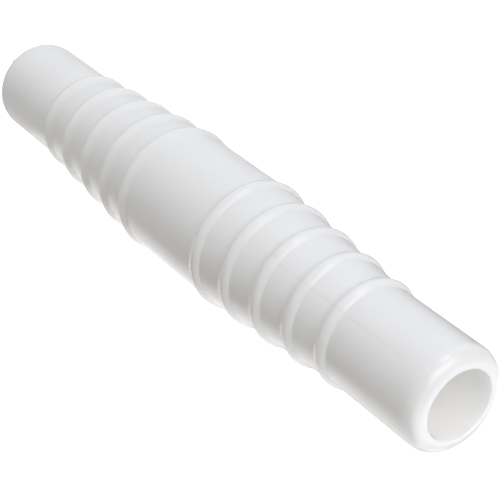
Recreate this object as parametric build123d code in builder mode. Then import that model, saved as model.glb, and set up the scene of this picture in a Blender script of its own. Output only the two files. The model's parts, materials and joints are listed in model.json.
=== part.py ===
import os
from math import cos, radians, sin, tan

from build123d import *

# A double-ended hose connector, moulded in one piece. It stands on one end:
# the foot is at z = 0 and the bore runs up the Z axis. Millimetres.

# Overall sizes
length = 214.4
middle_diameter = 38.0          # the plain barrel between the two first rings
cuff_diameter = 29.9            # the smooth end that the hose slides over first
bore_diameter = 20.2

# Rings, counted from the middle towards each end
rings_per_end = 5
first_ring_offset = 19.15       # from the middle of the connector to the crest
ring_pitch = 13.04
ring_height = 0.93              # crest above the barrel on the ring's inner side
ring_step = 0.28                # the barrel is this much smaller in radius beyond each ring

# Section of one ring
ramp_angle = 20                 # slope of the gentle inner side, in degrees
crest_radius = 1.6
crest_turn = 24                 # degrees that the round of the crest runs on past its top
nose_length = 2.5               # from the crest to the foot of the steeper outer side

# Ends
mouth_chamfer = 0.4             # the bore's edge
end_land = 0.5                  # flat ring between the bore's edge and the round of the lip
lip_turn = 45                   # degrees of the lip's round that belong to its side
lip_side_extra = 0.8            # the round has a radius this much larger there than at the end

half_length = length / 2
middle_radius = middle_diameter / 2
cuff_radius = cuff_diameter / 2
bore_radius = bore_diameter / 2

# What the steps leave of the fall from barrel to cuff is shared by the tapers between the rings
tapers_per_end = rings_per_end - 1
taper_fall = (middle_radius - cuff_radius - rings_per_end * ring_step) / tapers_per_end

# From the crest back across its round, then down the straight slope to the barrel
ramp = radians(ramp_angle)
slope_height = ring_height - crest_radius * (1 - cos(ramp))
ramp_length = crest_radius * sin(ramp) + slope_height / tan(ramp)

# The lip's two arcs share the wall that the bore's edge and the land leave
lip_shift = Vector(lip_side_extra, 0).rotate(Axis.Z, lip_turn)
lip_depth = cuff_radius - bore_radius - mouth_chamfer - end_land
lip_end_radius = lip_depth - (lip_side_extra - lip_shift.X)
lip_side_radius = lip_end_radius + lip_side_extra

section_plane = Plane(origin=(0, 0, half_length), x_dir=(1, 0, 0), z_dir=(0, -1, 0))

with BuildPart() as connector:
    with BuildSketch(section_plane):
        with BuildLine():
            span_start = Vector(middle_radius, 0)
            for ring in range(rings_per_end):
                inner_radius = middle_radius - ring * (ring_step + taper_fall)
                crest_offset = first_ring_offset + ring * ring_pitch
                crest_centre = Vector(inner_radius + ring_height - crest_radius, crest_offset)
                ramp_foot = Vector(inner_radius, crest_offset - ramp_length)
                nose_foot = Vector(inner_radius - ring_step, crest_offset + nose_length)
                crest = CenterArc(crest_centre, crest_radius, -ramp_angle, ramp_angle + crest_turn)
                Polyline(span_start, ramp_foot, crest @ 0)
                Line(crest @ 1, nose_foot)
                span_start = nose_foot
            side_centre = Vector(cuff_radius - lip_side_radius, half_length - lip_end_radius - lip_shift.Y)
            lip_side = CenterArc(side_centre, lip_side_radius, 0, lip_turn)
            lip_end = CenterArc(side_centre + lip_shift, lip_end_radius, lip_turn, 90 - lip_turn)
            mouth_start = Vector(bore_radius + mouth_chamfer, half_length)
            mouth_end = Vector(bore_radius, half_length - mouth_chamfer)
            Line(span_start, lip_side @ 0)
            Polyline(lip_end @ 1, mouth_start, mouth_end, (bore_radius, 0))
            mirror(about=Plane.XZ)
        make_face()
    revolve(axis=Axis.Z)

connector.part.label = "hose_connector"

os.makedirs("parts", exist_ok=True)
export_step(connector.part, "parts/hose_connector.step")
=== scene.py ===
import json
import math

import bpy
import numpy as np
from mathutils import Matrix, Vector


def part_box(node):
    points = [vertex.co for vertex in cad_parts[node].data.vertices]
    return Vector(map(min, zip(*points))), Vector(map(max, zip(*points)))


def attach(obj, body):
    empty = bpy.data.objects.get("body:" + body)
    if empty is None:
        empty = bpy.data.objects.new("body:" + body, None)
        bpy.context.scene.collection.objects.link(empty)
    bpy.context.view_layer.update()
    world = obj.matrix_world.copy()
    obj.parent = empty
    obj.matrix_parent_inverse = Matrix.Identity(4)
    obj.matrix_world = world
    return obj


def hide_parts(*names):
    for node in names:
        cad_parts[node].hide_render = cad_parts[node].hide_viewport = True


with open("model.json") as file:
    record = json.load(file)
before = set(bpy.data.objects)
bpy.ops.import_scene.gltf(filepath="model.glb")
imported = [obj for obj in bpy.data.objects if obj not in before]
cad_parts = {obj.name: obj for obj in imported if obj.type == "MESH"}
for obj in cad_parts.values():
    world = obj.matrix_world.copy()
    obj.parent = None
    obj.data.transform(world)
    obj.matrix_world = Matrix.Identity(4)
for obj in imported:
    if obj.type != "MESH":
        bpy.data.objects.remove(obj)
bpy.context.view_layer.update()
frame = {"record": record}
print("frame loaded")

mm = 0.001
mounts = {mount["name"]: mount for mount in frame["record"]["mounts"]}
lowest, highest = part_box("hose_connector")
halfLength = (highest.z - lowest.z) / 2
middleHeight = (highest.z + lowest.z) / 2


# the turned skin
connectorShape = {
    "middleRadius": 19.0 * mm,      # plain barrel between the two first rings
    "cuffRadius": mounts["upper_cuff"]["dims"]["r_mm"] * mm,
    "boreRadius": mounts["bore"]["dims"]["r_mm"] * mm,
    "ringsPerEnd": 5,
    "firstRingOffset": 19.15 * mm,  # from the middle to the first crest
    "ringPitch": 13.04 * mm,
    "ringHeight": 0.86 * mm,        # crest above the barrel on the ring's inner side
    "ringStep": 0.28 * mm,          # fall of the barrel's radius across each ring
    "ramp": {"crestRadius": 1.6 * mm, "slope": 25.0, "hollowRadius": 4.0 * mm},   # flared inner side
    "nose": {"crestRadius": 3.0 * mm, "slope": 45.0, "hollowRadius": 0.8 * mm},   # steeper outer side
    "lipDrop": 4.0 * mm,            # how far the round at the end of each cuff comes in
    "lipEase": 1.15,                # 1 for a plain quarter circle, more for a softer start
    "mouthRadius": 0.16 * mm,       # small round on the bore's edge
    "arcRows": 6,
    "spanRows": 4,
    "cuffRows": 8,
    "lipRows": 16,
    "lipSteps": 20,                 # fine steps summed for each row of the lip
    "mouthRows": 6,
    "boreRows": 24,
    "columns": 232,                 # even steps round the axis
    "seamColumns": 10,              # extra columns close to each parting line
    "seamReach": 1.6,               # how far to each side they reach, in ridge widths
    "angleDigits": 5,               # decimals by which columns that fall together are told
}

partingLine = {
    "angles": (-92.8, 87.2),        # where the two mould halves met, in degrees round +Z
    "ridgeWidth": 0.95 * mm,
    "ridgeHeight": 0.025 * mm,
    "halfShift": 0.03 * mm,         # one half stands this much further out than the other
    "edgeSoftness": 0.13 * mm,
    "fadeLength": 5.0 * mm,         # the shift dies out this far from the line
    "middleShare": 0.25,            # how strong the line still is on the plain barrel
    "endFade": 0.1,                 # the line dies out where the skin faces this close to the end
    "seamShadeLines": {                     # painted shade: thin darker lines along the ridge's edges, where they fall in shade: place on the X axis, heights, shade
        "first": {"place": -0.26 * mm, "from": 118.0 * mm, "to": 208.0 * mm, "shade": 0.93},
        "second": {"place": -1.04 * mm, "from": 140.0 * mm, "to": 207.0 * mm, "shade": 0.95},
    },
    "shadeLineWidth": 0.28 * mm,
    "shadeLineBreak": 24.0 * mm,        # the painted shade lines come and go at about this spacing
    "shadeLineRise": 3.0,               # a painted shade line comes up over this many spacings
    "shadeLineStop": 6.0 * mm,          # and goes over this length at its high end
    "shadeLineGaps": (0.25, 0.45),      # noise below the first leaves a gap, above the second none
    "notchRing": 3,                 # the crest that the line cuts, counted from the middle
    "notchDepth": 0.16 * mm,
    "notchWidth": 0.55 * mm,
    "notchLength": 1.6 * mm,
    "gateHeight": 0.45 * mm,        # gate mark left on the lower lip
    "gateWidth": 0.55 * mm,
    "gateLength": 0.9 * mm,
    "gateFrom": 2.2 * mm,           # height of the gate mark above the foot
}


def arcPoints(centre, radius, start, end, rows):
    # a circle's arc: centre plus radius times the cosine and sine of evenly spaced angles
    angle = np.linspace(start, end, rows + 1)
    return np.stack([centre[0] + radius * np.cos(angle), centre[1] + radius * np.sin(angle)], axis=1)


def spanPoints(start, end, rows):
    # a straight run whose rows crowd at both ends: the step follows half a cosine wave
    share = (1 - np.cos(np.linspace(0, math.pi, rows + 1))) / 2
    return np.asarray(start) + share[:, None] * (np.asarray(end) - np.asarray(start))


def easedRound(shape):
    # a quarter turn from the cuff's side to the end face: the turn grows with a power of the way along it,
    # and the sums of its cosine and sine are scaled so that it comes in by the drop and ends at the end
    steps = shape["lipSteps"]
    turn = math.pi / 2 * np.linspace(0, 1, steps * shape["lipRows"] + 1) ** shape["lipEase"]
    middle = (turn[1:] + turn[:-1]) / 2
    along = np.concatenate([[0.0], np.cumsum(np.cos(middle))])
    inward = np.concatenate([[0.0], np.cumsum(np.sin(middle))])
    scale = shape["lipDrop"] / inward[-1]
    radius = shape["cuffRadius"] - inward * scale
    offset = halfLength + (along - along[-1]) * scale
    return np.stack([radius, offset], axis=1)[::steps]


def ringSide(drop, side, spanSlope, rows):
    # one side of a ring as its fall below the crest and its reach from it: the crest's arc, a straight
    # flank and a hollow arc that ends along the span; the flank takes what the arcs leave of the drop
    slope = math.radians(side["slope"])
    turnDown = np.linspace(0, slope, rows + 1)
    turnOut = np.linspace(slope, spanSlope, rows + 1)
    crestFall = side["crestRadius"] * (1 - np.cos(turnDown))
    crestReach = side["crestRadius"] * np.sin(turnDown)
    hollowFall = side["hollowRadius"] * (np.cos(turnOut) - math.cos(slope))
    hollowReach = side["hollowRadius"] * (math.sin(slope) - np.sin(turnOut))
    flank = (drop - crestFall[-1] - hollowFall[-1]) / math.sin(slope)
    fall = np.concatenate([crestFall, crestFall[-1] + flank * math.sin(slope) + hollowFall])
    reach = np.concatenate([crestReach, crestReach[-1] + flank * math.cos(slope) + hollowReach])
    return fall, reach


def outerHalf(shape):
    # radius and offset from the middle, from the plain barrel over the rings to the flat of the end; the
    # tapers between the rings share what the steps leave of the fall from barrel to cuff
    rings = shape["ringsPerEnd"]
    taperFall = (shape["middleRadius"] - shape["cuffRadius"] - rings * shape["ringStep"]) / (rings - 1)
    noseDrop = shape["ringHeight"] + shape["ringStep"]
    levelRamp = ringSide(shape["ringHeight"], shape["ramp"], 0.0, shape["arcRows"])[1]
    levelNose = ringSide(noseDrop, shape["nose"], 0.0, shape["arcRows"])[1]
    taper = math.atan2(taperFall, shape["ringPitch"] - levelRamp[-1] - levelNose[-1])
    parts = []
    spanStart = np.array([shape["middleRadius"], 0.0])
    for ring in range(rings):
        offset = shape["firstRingOffset"] + ring * shape["ringPitch"]
        innerRadius = shape["middleRadius"] - ring * (shape["ringStep"] + taperFall)
        crest = innerRadius + shape["ringHeight"]
        rampSlope = -taper if ring > 0 else 0.0
        noseSlope = taper if ring < rings - 1 else 0.0
        rampFall, rampReach = ringSide(shape["ringHeight"], shape["ramp"], rampSlope, shape["arcRows"])
        noseFall, noseReach = ringSide(noseDrop, shape["nose"], noseSlope, shape["arcRows"])
        ramp = np.stack([crest - rampFall, offset - rampReach], axis=1)[::-1]
        nose = np.stack([crest - noseFall, offset + noseReach], axis=1)
        parts += [spanPoints(spanStart, ramp[0], shape["spanRows"])[:-1], ramp[:-1], nose[:-1]]
        spanStart = nose[-1]
    lip = easedRound(shape)
    parts += [spanPoints(spanStart, lip[0], shape["cuffRows"])[:-1], lip]
    return np.concatenate(parts)


def closedSection(shape):
    # the outer half and its mirror image, joined by the two mouths and the straight bore; isOuter is one
    # on the outer skin and nothing on the mouths and in the bore
    outer = outerHalf(shape)
    small = shape["mouthRadius"]
    mouthCentre = (shape["boreRadius"] + small, halfLength - small)
    mouth = arcPoints(mouthCentre, small, math.pi / 2, math.pi, shape["mouthRows"])
    flip = np.array([1.0, -1.0])
    bore = spanPoints(mouth[-1], mouth[-1] * flip, shape["boreRows"])[1:-1]
    loop = np.concatenate([outer, mouth, bore, (mouth * flip)[::-1], (outer * flip)[::-1][:-1]])
    outside = len(outer)
    isOuter = np.zeros(len(loop))
    isOuter[:outside] = 1.0
    isOuter[-(outside - 1):] = 1.0
    return loop, isOuter


def columnAngles(shape, line):
    # even steps round the axis, plus columns crowded about each parting line
    even = np.arange(shape["columns"]) * 2 * math.pi / shape["columns"]
    reach = shape["seamReach"] * line["ridgeWidth"] / shape["cuffRadius"]
    close = np.linspace(-reach, reach, shape["seamColumns"])
    extra = [math.radians(angle) + close for angle in line["angles"]]
    allAngles = np.mod(np.concatenate([even] + extra), 2 * math.pi)
    return np.unique(np.round(allAngles, shape["angleDigits"]))


def seamRelief(radius, height, angle, line, shape):
    # across each parting line a low flat ridge (difference of two tanh steps) and a shift of one half
    # (one tanh step), both growing with the square of the way from the middle to the ends; a notch where
    # the first line crosses one crest and a gate mark on the lower lip are products of two bells
    relief = np.zeros(np.broadcast(radius, angle).shape)
    endShare = ((height - middleHeight) / halfLength) ** 2
    strength = line["middleShare"] + (1 - line["middleShare"]) * endShare
    for seam in line["angles"]:
        turn = np.mod(angle - math.radians(seam) + math.pi, 2 * math.pi) - math.pi
        across = radius * turn
        soft = line["edgeSoftness"]
        half = line["ridgeWidth"] / 2
        ridge = (np.tanh((across + half) / soft) - np.tanh((across - half) / soft)) / 2
        shift = np.tanh((across - half) / soft) / 2 * np.exp(-(across / line["fadeLength"]) ** 2)
        relief += strength * (line["ridgeHeight"] * ridge + line["halfShift"] * shift)
        if seam == line["angles"][0]:
            notchOffset = shape["firstRingOffset"] + (line["notchRing"] - 1) * shape["ringPitch"]
            pastNotch = (height - middleHeight - notchOffset) / line["notchLength"]
            notch = np.exp(-(across / line["notchWidth"]) ** 2 - pastNotch ** 2)
            pastGate = (height - lowest.z - line["gateFrom"]) / line["gateLength"]
            gate = np.exp(-(across / line["gateWidth"]) ** 4 - pastGate ** 4)
            relief += line["gateHeight"] * gate - line["notchDepth"] * notch
    return relief


def turnedSkin(name, shape, line):
    # revolved section: (radius cos angle, radius sin angle, height), moved along its normal by the relief,
    # which dies out where the normal turns towards the end
    loop, isOuter = closedSection(shape)
    tangent = np.roll(loop, -1, axis=0) - np.roll(loop, 1, axis=0)
    tangent /= np.linalg.norm(tangent, axis=1)[:, None]
    normal = np.stack([tangent[:, 1], -tangent[:, 0]], axis=1)
    angle = columnAngles(shape, line)
    rows, columns = len(loop), len(angle)
    radius = loop[:, 0][:, None]
    height = middleHeight + loop[:, 1][:, None]
    fade = line["endFade"]
    side = np.clip((1 + fade) * normal[:, 0] - fade, 0, 1)[:, None] * isOuter[:, None]
    relief = seamRelief(radius, height, angle[None, :], line, shape) * side
    radius = radius + relief * normal[:, 0][:, None]
    height = height + relief * normal[:, 1][:, None]
    points = np.stack([radius * np.cos(angle), radius * np.sin(angle), height + 0 * radius], axis=2)
    row, column = np.meshgrid(np.arange(rows), np.arange(columns), indexing="ij")
    nextRow, nextColumn = (row + 1) % rows, (column + 1) % columns
    faces = np.stack([row * columns + column, row * columns + nextColumn,
                      nextRow * columns + nextColumn, nextRow * columns + column], axis=2).reshape(-1, 4)
    mesh = bpy.data.meshes.new(name)
    mesh.from_pydata(points.reshape(-1, 3).tolist(), [], faces.tolist())
    mesh.polygons.foreach_set("use_smooth", np.ones(len(faces), dtype=bool))
    inBore = (isOuter[row] == 0) & (isOuter[nextRow] == 0)
    mesh.polygons.foreach_set("material_index", inBore.reshape(-1).astype(np.int32))
    mesh.update()
    skin = bpy.data.objects.new(name, mesh)
    bpy.context.scene.collection.objects.link(skin)
    print(name, rows, "rows", columns, "columns", 2 * len(faces), "triangles")
    return skin


# white plastic: a smooth moulded skin that light sinks into; the bore's copy is painted lighter and warmer as
# painted light
plasticLook = {
    "outside": (0.92, 0.92, 0.92),
    # painted light: the bore's colour is lighter and warmer than the outside's, standing in for light that
    # reaches into the bore
    "boreLitColour": (0.955, 0.955, 0.94),
    "flowShade": 0.985,             # the darkest flow streak, as a share of the colour
    "roughness": 0.21,
    "roughnessSpread": 0.05,
    "flowSize": 30.0 * mm,
    "flowStretch": (1, 1, 3),       # along X, Y and Z
    "grainSize": 0.35 * mm,
    "grainDepth": 0.0006 * mm,
    "scuffSize": 6.0 * mm,
    "scuffStretch": (1, 1.4, 5),
    "scuffWidth": 0.006,            # how far from its middle value the noise still makes a hairline
    "patchStretch": (0.5, 0.5, 0.7),
    "patchRange": (0.55, 0.7),      # hairlines come in between these values of a slow noise
    "outsideGlow": 0.6 * mm,        # how far light travels inside the wall
    "boreGlow": 15.0 * mm,
}


def shaderGroup(name, inputs, outputs):
    # an empty node group with number sockets
    group = bpy.data.node_groups.new(name, "ShaderNodeTree")
    for socketName, value in inputs.items():
        socket = group.interface.new_socket(socketName, in_out="INPUT", socket_type="NodeSocketFloat")
        socket.default_value = value
    for socketName in outputs:
        group.interface.new_socket(socketName, in_out="OUTPUT", socket_type="NodeSocketFloat")
    return group, group.nodes.new("NodeGroupInput"), group.nodes.new("NodeGroupOutput")


def mathNode(tree, operation, first, second):
    # one Math node; each input is a socket or a number
    node = tree.nodes.new("ShaderNodeMath")
    node.operation = operation
    for socket, value in zip(node.inputs, (first, second)):
        if isinstance(value, (int, float)):
            socket.default_value = value
        else:
            tree.links.new(value, socket)
    return node.outputs[0]


def stretchedNoise(tree, size, stretch, detail):
    # noise on object coordinates divided by size, drawn out along each axis by the stretch
    place = tree.nodes.new("ShaderNodeTexCoord")
    drawn = tree.nodes.new("ShaderNodeVectorMath")
    drawn.operation = "MULTIPLY"
    drawn.inputs[1].default_value = [1 / share for share in stretch]
    tree.links.new(place.outputs["Object"], drawn.inputs[0])
    noise = tree.nodes.new("ShaderNodeTexNoise")
    noise.inputs["Detail"].default_value = detail
    tree.links.new(drawn.outputs[0], noise.inputs["Vector"])
    tree.links.new(mathNode(tree, "DIVIDE", 1.0, size), noise.inputs["Scale"])
    return noise.outputs["Fac"]


def mouldedSurface(look):
    # flow: long soft streaks along the tube; grain: the mould's fine polish marks;
    # scuff: hairlines where a drawn-out noise passes its middle value, in patches
    sizes = {"FlowSize": look["flowSize"], "GrainSize": look["grainSize"], "ScuffSize": look["scuffSize"]}
    group, given, result = shaderGroup("mouldedSurface", sizes, ("Flow", "Grain", "Scuff"))
    flow = stretchedNoise(group, given.outputs["FlowSize"], look["flowStretch"], 2)
    grain = stretchedNoise(group, given.outputs["GrainSize"], (1, 1, 1), 3)
    drawn = stretchedNoise(group, given.outputs["ScuffSize"], look["scuffStretch"], 1)
    line = group.nodes.new("ShaderNodeMapRange")
    line.interpolation_type = "SMOOTHSTEP"
    line.inputs["From Max"].default_value = look["scuffWidth"]
    line.inputs["To Min"].default_value = 1.0
    line.inputs["To Max"].default_value = 0.0
    offMiddle = mathNode(group, "ABSOLUTE", mathNode(group, "SUBTRACT", drawn, 0.5), 0.0)
    group.links.new(offMiddle, line.inputs["Value"])
    patch = group.nodes.new("ShaderNodeMapRange")
    patch.inputs["From Min"].default_value = look["patchRange"][0]
    patch.inputs["From Max"].default_value = look["patchRange"][1]
    patches = stretchedNoise(group, given.outputs["FlowSize"], look["patchStretch"], 1)
    group.links.new(patches, patch.inputs["Value"])
    group.links.new(flow, result.inputs["Flow"])
    group.links.new(grain, result.inputs["Grain"])
    group.links.new(mathNode(group, "MULTIPLY", line.outputs[0], patch.outputs[0]), result.inputs["Scuff"])
    return group


def smoothRise(tree, value, start, end):
    # nothing at the start and one at the end, with a soft S between; each is a socket or a number
    rise = tree.nodes.new("ShaderNodeMapRange")
    rise.interpolation_type = "SMOOTHSTEP"
    tree.links.new(value, rise.inputs["Value"])
    for socketName, bound in (("From Min", start), ("From Max", end)):
        if isinstance(bound, (int, float)):
            rise.inputs[socketName].default_value = bound
        else:
            tree.links.new(bound, rise.inputs[socketName])
    return rise.outputs[0]


def objectAxes(tree):
    # the object's own X, Y and Z as three sockets
    place = tree.nodes.new("ShaderNodeTexCoord")
    split = tree.nodes.new("ShaderNodeSeparateXYZ")
    tree.links.new(place.outputs["Object"], split.inputs[0])
    return split.outputs


def paintedSeamShade(line):
    # painted shade along the parting ridge's edges: a thin darker line along the tube: how close the object's
    # X comes to the line's place, as a bell; it grows slowly from the low height, stops short at the high one
    # and is broken up by a slow noise
    inputs = {"Place": 0.0, "Width": line["shadeLineWidth"], "Break": line["shadeLineBreak"], "Low": 0.0, "High": 0.0}
    group, given, result = shaderGroup("paintedSeamShade", inputs, ("Mask",))
    axes = objectAxes(group)
    away = mathNode(group, "SUBTRACT", axes["X"], given.outputs["Place"])
    share = mathNode(group, "DIVIDE", away, given.outputs["Width"])
    square = mathNode(group, "MULTIPLY", share, share)
    bell = mathNode(group, "POWER", math.e, mathNode(group, "MULTIPLY", square, -1.0))
    slowRise = mathNode(group, "MULTIPLY", given.outputs["Break"], line["shadeLineRise"])
    lowEnd = mathNode(group, "ADD", given.outputs["Low"], slowRise)
    highStart = mathNode(group, "SUBTRACT", given.outputs["High"], line["shadeLineStop"])
    rise = smoothRise(group, axes["Z"], given.outputs["Low"], lowEnd)
    fall = mathNode(group, "SUBTRACT", 1.0, smoothRise(group, axes["Z"], highStart, given.outputs["High"]))
    slowNoise = stretchedNoise(group, given.outputs["Break"], (1, 1, 1), 1)
    broken = smoothRise(group, slowNoise, *line["shadeLineGaps"])
    between = mathNode(group, "MULTIPLY", mathNode(group, "MULTIPLY", rise, fall), broken)
    group.links.new(mathNode(group, "MULTIPLY", bell, between), result.inputs["Mask"])
    return group


def mixColour(tree, share, colourA, colourB):
    # blend of two colours; each is a socket or three numbers
    mix = tree.nodes.new("ShaderNodeMix")
    mix.data_type = "RGBA"
    tree.links.new(share, mix.inputs[0])
    for socket, value in ((mix.inputs[6], colourA), (mix.inputs[7], colourB)):
        if isinstance(value, tuple):
            socket.default_value = (*value, 1)
        else:
            tree.links.new(value, socket)
    return mix.outputs[2]


def placeGroup(tree, group, values):
    # one use of a node group, with these values on its sockets
    node = tree.nodes.new("ShaderNodeGroup")
    node.node_tree = group
    for socketName, value in values.items():
        node.inputs[socketName].default_value = value
    return node


def whitePlastic(name, colour, glowDepth, look, surface):
    # colour, roughness and a very fine bump all follow the moulded surface's masks; light goes as deep into
    # the wall as the glow depth
    material = bpy.data.materials.new(name)
    material.use_nodes = True
    tree = material.node_tree
    shader = tree.nodes["Principled BSDF"]
    marks = placeGroup(tree, surface, {"FlowSize": look["flowSize"], "GrainSize": look["grainSize"],
                                       "ScuffSize": look["scuffSize"]})
    shaded = tuple(channel * look["flowShade"] for channel in colour)
    tree.links.new(mixColour(tree, marks.outputs["Flow"], shaded, colour), shader.inputs["Base Color"])
    dulled = mathNode(tree, "ADD", marks.outputs["Flow"], marks.outputs["Scuff"])
    spread = mathNode(tree, "MULTIPLY", mathNode(tree, "SUBTRACT", dulled, 0.5), look["roughnessSpread"])
    tree.links.new(mathNode(tree, "ADD", spread, look["roughness"]), shader.inputs["Roughness"])
    bump = tree.nodes.new("ShaderNodeBump")
    bump.inputs["Distance"].default_value = look["grainDepth"]
    tree.links.new(marks.outputs["Grain"], bump.inputs["Height"])
    tree.links.new(bump.outputs["Normal"], shader.inputs["Normal"])
    shader.inputs["Subsurface Weight"].default_value = 1.0
    shader.inputs["Subsurface Radius"].default_value = (1, 1, 1)
    shader.inputs["Subsurface Scale"].default_value = glowDepth
    return material


def addPaintedSeamShade(material, seamShadeGroup, line):
    # painted shade: darkens the colour a little along each line beside the ridge, where the ridge's edges
    # fall in shade
    tree = material.node_tree
    shader = tree.nodes["Principled BSDF"]
    for values in line["seamShadeLines"].values():
        colour = shader.inputs["Base Color"].links[0].from_socket
        mark = placeGroup(tree, seamShadeGroup, {"Place": values["place"], "Width": line["shadeLineWidth"],
                                        "Break": line["shadeLineBreak"], "Low": values["from"],
                                        "High": values["to"]})
        darker = mixColour(tree, mark.outputs["Mask"], (1.0, 1.0, 1.0), (values["shade"],) * 3)
        product = tree.nodes.new("ShaderNodeMix")
        product.data_type = "RGBA"
        product.blend_type = "MULTIPLY"
        product.inputs[0].default_value = 1.0
        tree.links.new(colour, product.inputs[6])
        tree.links.new(darker, product.inputs[7])
        tree.links.new(product.outputs[2], shader.inputs["Base Color"])


surface = mouldedSurface(plasticLook)
outsidePlastic = whitePlastic(
    "whitePlasticOutside", plasticLook["outside"], plasticLook["outsideGlow"], plasticLook, surface)
# the bore's copy carries the lighter, warmer painted-light colour
boreLitPlastic = whitePlastic(
    "whitePlasticBoreLit", plasticLook["boreLitColour"], plasticLook["boreGlow"], plasticLook, surface)
# the outside's colour gets the painted shade lines along the parting ridge
addPaintedSeamShade(outsidePlastic, paintedSeamShade(partingLine), partingLine)

connectorSkin = turnedSkin("connectorSkin", connectorShape, partingLine)
connectorSkin.data.materials.append(outsidePlastic)
connectorSkin.data.materials.append(boreLitPlastic)
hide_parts("hose_connector")
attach(connectorSkin, "root")
print("connector made")


# floor and surroundings: white to the camera, and a soft glow from below to everything else
studio = {
    "floorSize": 14.0,
    "floorColour": 0.86,
    "floorRoughness": 0.9,
    "floorSeen": 0.8,               # added to what the camera sees, so that the floor stays white
    "floorGlow": (0.710, 0.705, 0.694),
    "worldSeen": 0.84,              # how bright the surroundings are to the camera
}

# soft round spots that add to the floor's glow, or take from it; azimuth is round +Z from +X
floorSpots = {
    "foot": {"azimuth": 190, "distance": 0.12, "radius": 0.10, "glow": (0.087, 0.103, 0.127)},
    "front": {"azimuth": 244, "distance": 0.17, "radius": 0.08, "glow": (0.064, 0.078, 0.128)},
    "frontWide": {"azimuth": 255, "distance": 0.14, "radius": 0.14, "glow": (0.031, 0.012, -0.04)},
    "shadeBehind": {"azimuth": 130, "distance": 0.40, "radius": 0.36, "glow": (-0.69, -0.702, -0.723)},
    "shadeLeft": {"azimuth": 190, "distance": 0.26, "radius": 0.16, "glow": (-0.259, -0.232, -0.216)},
    "shadeRight": {"azimuth": 0, "distance": 0.22, "radius": 0.14, "glow": (-0.611, -0.681, -0.849)},
}


def spotMask(tree, spot):
    # one at the spot's middle, falling smoothly to nothing at its radius
    place = tree.nodes.new("ShaderNodeTexCoord")
    reach = tree.nodes.new("ShaderNodeVectorMath")
    reach.operation = "DISTANCE"
    turn = math.radians(spot["azimuth"])
    away = spot["distance"]
    reach.inputs[1].default_value = (away * math.cos(turn), away * math.sin(turn), 0)
    tree.links.new(place.outputs["Object"], reach.inputs[0])
    return mathNode(tree, "SUBTRACT", 1.0, smoothRise(tree, reach.outputs["Value"], 0.0, spot["radius"]))


def vectorNode(tree, operation, *values):
    # one Vector Math node; each input is a socket or three numbers
    node = tree.nodes.new("ShaderNodeVectorMath")
    node.operation = operation
    for socket, value in zip(node.inputs, values):
        if isinstance(value, tuple):
            socket.default_value = value
        else:
            tree.links.new(value, socket)
    return node.outputs[0]


def paleFloorMaterial(look, spots):
    # the camera sees white that takes soft shadows; other rays meet the glow, with its lit and shaded spots
    material = bpy.data.materials.new("paleFloor")
    material.use_nodes = True
    tree = material.node_tree
    shader = tree.nodes["Principled BSDF"]
    shader.inputs["Base Color"].default_value = (look["floorColour"],) * 3 + (1,)
    shader.inputs["Roughness"].default_value = look["floorRoughness"]
    shader.inputs["Specular IOR Level"].default_value = 0.0
    shader.inputs["Emission Color"].default_value = (1, 1, 1, 1)
    shader.inputs["Emission Strength"].default_value = look["floorSeen"]
    shining = look["floorGlow"]
    for spot in spots.values():
        shining = vectorNode(tree, "MULTIPLY_ADD", spotMask(tree, spot), spot["glow"], shining)
    glow = tree.nodes.new("ShaderNodeEmission")
    tree.links.new(vectorNode(tree, "MAXIMUM", shining, (0.0, 0.0, 0.0)), glow.inputs["Color"])
    path = tree.nodes.new("ShaderNodeLightPath")
    either = tree.nodes.new("ShaderNodeMixShader")
    tree.links.new(path.outputs["Is Camera Ray"], either.inputs[0])
    tree.links.new(glow.outputs[0], either.inputs[1])
    tree.links.new(shader.outputs[0], either.inputs[2])
    tree.links.new(either.outputs[0], tree.nodes["Material Output"].inputs["Surface"])
    return material


def studioFloor(look, spots):
    # a flat square at the height of the foot
    half = look["floorSize"] / 2
    corners = [(-half, -half, 0), (half, -half, 0), (half, half, 0), (-half, half, 0)]
    mesh = bpy.data.meshes.new("studioFloor")
    mesh.from_pydata(corners, [], [(0, 1, 2, 3)])
    mesh.materials.append(paleFloorMaterial(look, spots))
    floor = bpy.data.objects.new("studioFloor", mesh)
    bpy.context.scene.collection.objects.link(floor)


def paleWorld(look):
    # pale where the camera sees past the floor, and no light of its own
    world = bpy.data.worlds.new("paleWorld")
    world.use_nodes = True
    bpy.context.scene.world = world
    tree = world.node_tree
    background = tree.nodes["Background"]
    background.inputs["Color"].default_value = (1, 1, 1, 1)
    path = tree.nodes.new("ShaderNodeLightPath")
    seen = mathNode(tree, "MULTIPLY", path.outputs["Is Camera Ray"], look["worldSeen"])
    tree.links.new(seen, background.inputs["Strength"])


studioFloor(studio, floorSpots)
paleWorld(studio)


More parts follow.
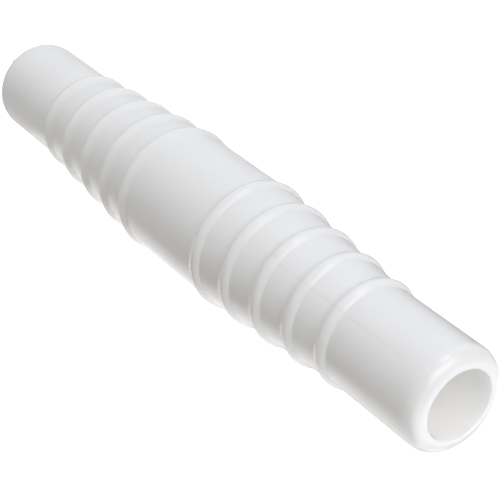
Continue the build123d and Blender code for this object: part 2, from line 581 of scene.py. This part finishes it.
# soft boxes round the connector; azimuth is round +Z from +X, sizes are in metres. The two cards stand close
# behind the connector, side by side, and light its edges
lights = {
    "keyLow": {"azimuth": -140, "elevation": 9, "distance": 2.0, "width": 0.62, "height": 0.54,
               "brightness": (5.07, 5.78, 7.57)},
    "keyHigh": {"azimuth": -130, "elevation": 50, "distance": 2.0, "width": 2.0, "height": 1.5,
                "brightness": (3.38, 3.32, 3.18)},
    "bounceLow": {"azimuth": 60, "elevation": 10, "distance": 2.0, "width": 1.3, "height": 0.58,
                  "brightness": (2.38, 2.00, 1.35)},
    "bounceHigh": {"azimuth": 45, "elevation": 40, "distance": 2.0, "width": 1.3, "height": 1.1,
                   "brightness": (1.99, 2.00, 2.16)},
    "rear": {"azimuth": 110, "elevation": 16, "distance": 2.0, "width": 1.1, "height": 1.1,
             "brightness": (1.13, 1.09, 0.86)},
    "overMouth": {"azimuth": 90, "elevation": 60, "distance": 0.3, "width": 0.16, "height": 0.16,
                  "brightness": (1.39, 1.48, 1.64)},
    "besideMouth": {"azimuth": 0, "elevation": 60, "distance": 0.3, "width": 0.16, "height": 0.16,
                    "brightness": (1.30, 1.30, 1.32)},
    "cardLeft": {"azimuth": 49, "elevation": 0, "distance": 0.0215, "sideways": 0.035, "width": 0.03,
                 "height": 0.214, "brightness": (1.44, 1.43, 1.32)},
    "cardRight": {"azimuth": 49, "elevation": 0, "distance": 0.0215, "sideways": -0.019, "width": 0.018,
                  "height": 0.214, "brightness": (0.51, 0.51, 0.51)},
}


def directionTo(azimuth, elevation):
    # unit vector towards a place seen at these angles, both in degrees
    turn, lift = math.radians(azimuth), math.radians(elevation)
    return Vector((math.cos(lift) * math.cos(turn), math.cos(lift) * math.sin(turn), math.sin(lift)))


def softBox(name, values):
    # an oblong lamp that faces the middle of the connector, or passes beside it where it is set sideways;
    # its power is brightness times pi times its area
    target = Vector((0, 0, middleHeight))
    toLamp = directionTo(values["azimuth"], values["elevation"])
    sideways = directionTo(values["azimuth"] + 90, 0) * values.get("sideways", 0.0)
    strongest = max(values["brightness"])
    data = bpy.data.lights.new(name, "AREA")
    data.shape = "RECTANGLE"
    data.size, data.size_y = values["width"], values["height"]
    data.energy = strongest * math.pi * values["width"] * values["height"]
    data.color = [channel / strongest for channel in values["brightness"]]
    lamp = bpy.data.objects.new(name, data)
    bpy.context.scene.collection.objects.link(lamp)
    lamp.rotation_euler = toLamp.to_track_quat("Z", "Y").to_euler()
    lamp.location = target + toLamp * values["distance"] + sideways
    lamp.visible_camera = False


for lampName, lampValues in lights.items():
    softBox(lampName, lampValues)
print("studio lit")


# the photograph's viewpoint
cameraPose = {
    "aim": (1.0406 * mm, 0.0272 * mm, 127.115 * mm),
    "distance": 426.122 * mm,
    "azimuth": -88.5,               # degrees round +Z from +X, from the aim point to the camera
    "elevation": 44.175,
    "roll": 127.529,
    "lens": 109.872,                # millimetres, on the sensor below
    "sensor": 36.0,
    "farthest": 100.0,              # in metres
}


def photoCamera(pose):
    # an upright camera that looks at the aim point, turned about its own line of sight by the roll
    roll = math.radians(pose["roll"])
    back = directionTo(pose["azimuth"], pose["elevation"])
    level = Vector((0, 0, 1)).cross(back).normalized()
    upright = back.cross(level)
    right = level * math.cos(roll) + upright * math.sin(roll)
    up = upright * math.cos(roll) - level * math.sin(roll)
    data = bpy.data.cameras.new("photoCamera")
    data.lens = pose["lens"]
    data.sensor_width = pose["sensor"]
    data.clip_end = pose["farthest"]
    camera = bpy.data.objects.new("photoCamera", data)
    bpy.context.scene.collection.objects.link(camera)
    place = Matrix((right, up, back)).transposed().to_4x4()
    place.translation = Vector(pose["aim"]) + back * pose["distance"]
    camera.matrix_world = place
    bpy.context.scene.camera = camera


photoCamera(cameraPose)
bpy.context.scene.view_settings.view_transform = "Standard"
print("camera set")
